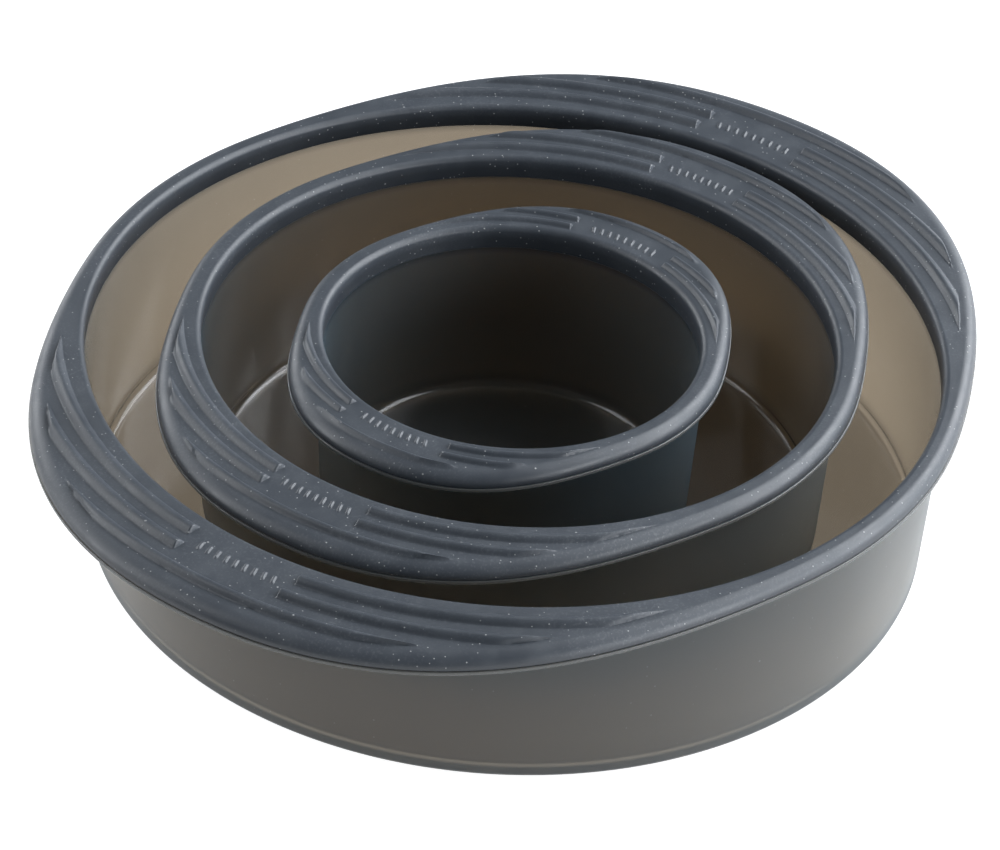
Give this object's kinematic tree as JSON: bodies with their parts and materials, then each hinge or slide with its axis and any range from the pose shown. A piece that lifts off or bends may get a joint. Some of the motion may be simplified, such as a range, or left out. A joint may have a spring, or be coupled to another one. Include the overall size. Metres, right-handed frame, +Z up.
{
  "type": "nested silicone cake mould set",
  "caption": "Round flexible cake moulds nested one inside the next, each a translucent shell with a thicker dark rim that widens into two ribbed wing grips.",
  "frame": {"origin": "centre of the largest mould's underside, where it stands on the table", "axes": "+Z up along the lifting direction; +X along the line through the middles of the largest mould's two wing grips; +Y completes the right-handed frame"},
  "size_m": [0.2974, 0.2518, 0.0599],
  "materials": {
    "shell_silicone": "translucent smoky brown-grey silicone, glossy inside and satin outside",
    "rim_silicone": "opaque slate blue-grey silicone, satin, with fine dust",
    "stiffener_steel": "plain rolled strip"
  },
  "bodies": {
    "large": {"large_shell": "shell_silicone", "large_rim": "rim_silicone", "large_stiffener": "stiffener_steel"},
    "medium": {"medium_shell": "shell_silicone", "medium_rim": "rim_silicone", "medium_stiffener": "stiffener_steel"},
    "small": {"small_shell": "shell_silicone", "small_rim": "rim_silicone", "small_stiffener": "stiffener_steel"}
  },
  "joints": [
    {"name": "lift_medium", "type": "slide", "parent": "large", "child": "medium", "axis": [0, 0, 1], "range_m": [0, 0.08]},
    {"name": "lift_small", "type": "slide", "parent": "medium", "child": "small", "axis": [0, 0, 1], "range_m": [0, 0.08]}
  ]
}
